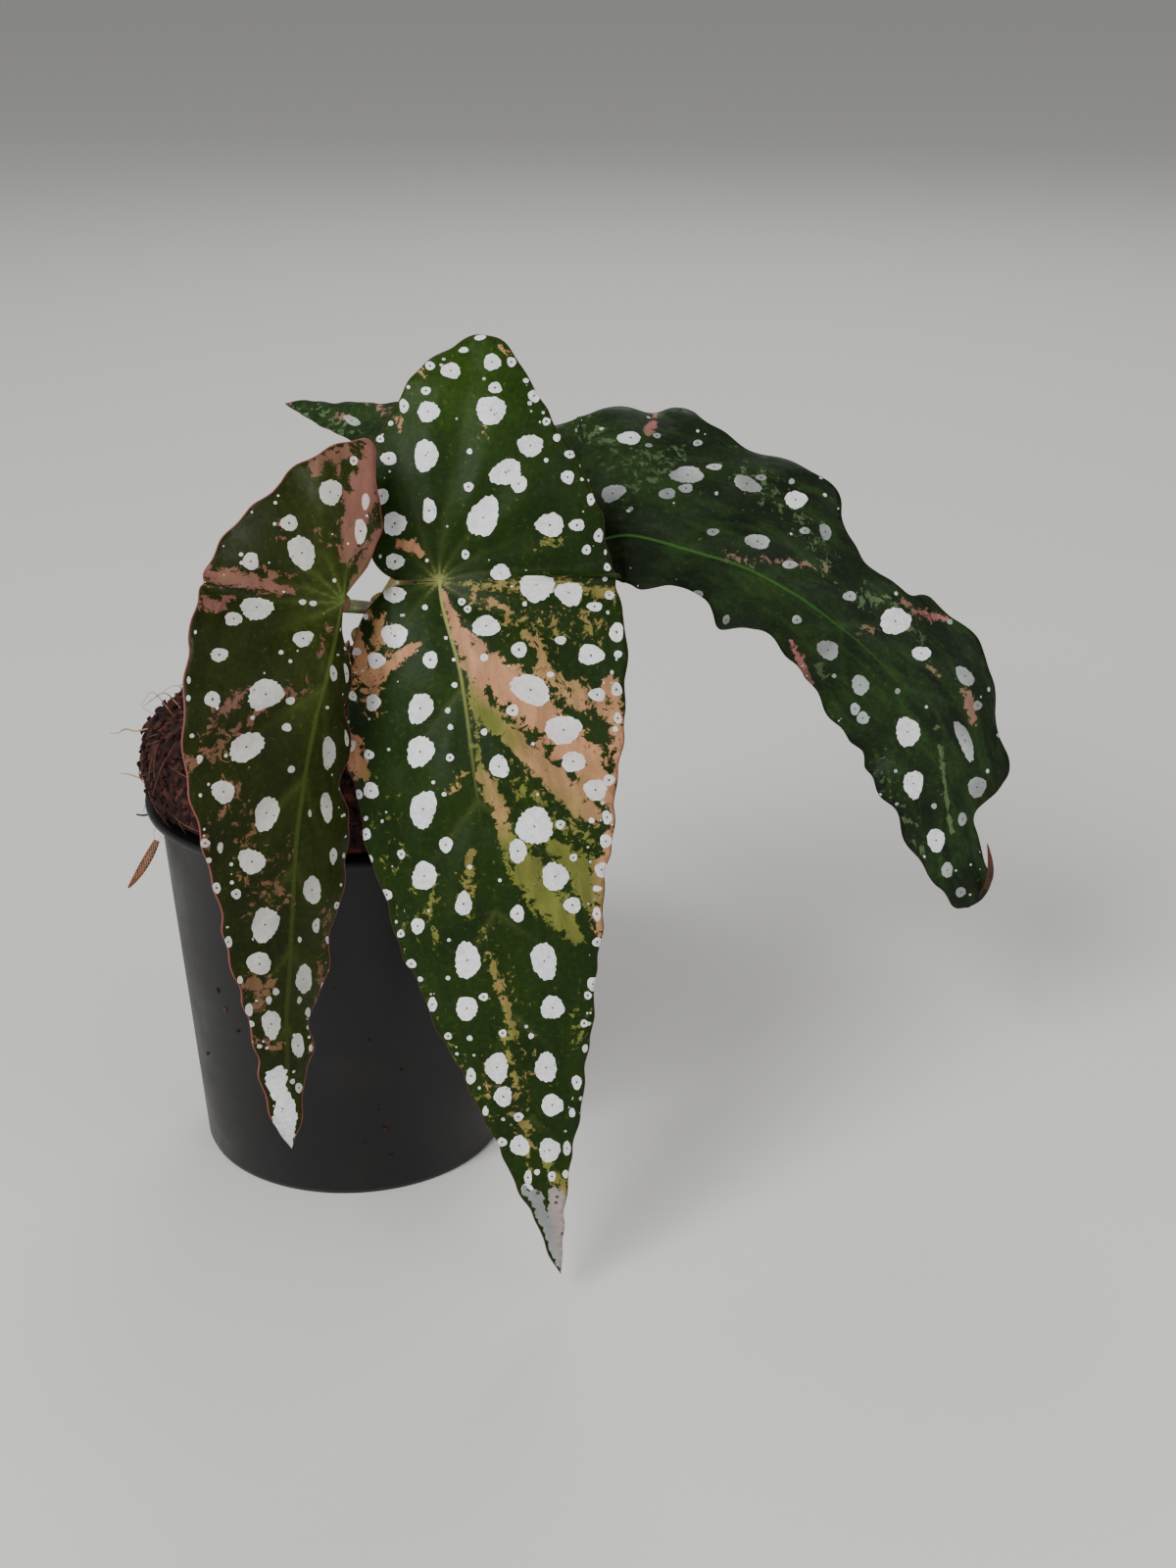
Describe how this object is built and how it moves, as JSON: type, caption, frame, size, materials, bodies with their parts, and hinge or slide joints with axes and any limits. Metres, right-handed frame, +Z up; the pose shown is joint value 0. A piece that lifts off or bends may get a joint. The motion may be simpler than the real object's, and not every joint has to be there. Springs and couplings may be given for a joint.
{
  "type": "potted polka dot begonia",
  "caption": "Spotted angel-wing begonia with pink and cream variegated leaves on a short cane, in a round black nursery pot filled with a heaped coir and bark mix.",
  "frame": {"origin": "centre of the pot's flat base", "axes": "+Z up along the pot's axis, the plant faces -Y, +X to the viewer's right"},
  "size_m": [0.2202, 0.1718, 0.2131],
  "materials": {
    "pot": "moulded black polypropylene",
    "growing_mix": "loose coir and bark chips",
    "cane": "green cane with pale flecks",
    "petiole": "smooth green and red stalk",
    "leaf_front": "green leaf with white spots and cream and pink patches",
    "leaf_left": "olive leaf with white spots and a pink lobe",
    "leaf_right": "dark green leaf with grey-white spots",
    "leaf_back": "green leaf with pale marbling"
  },
  "bodies": {
    "root": {"pot": "pot", "growing_mix": "growing_mix", "cane": "cane", "leaf_front": "leaf_front", "leaf_left": "leaf_left", "leaf_right": "leaf_right", "leaf_back": "leaf_back", "petiole_front": "petiole", "petiole_left": "petiole", "petiole_right": "petiole", "petiole_back": "petiole"}
  },
  "joints": []
}
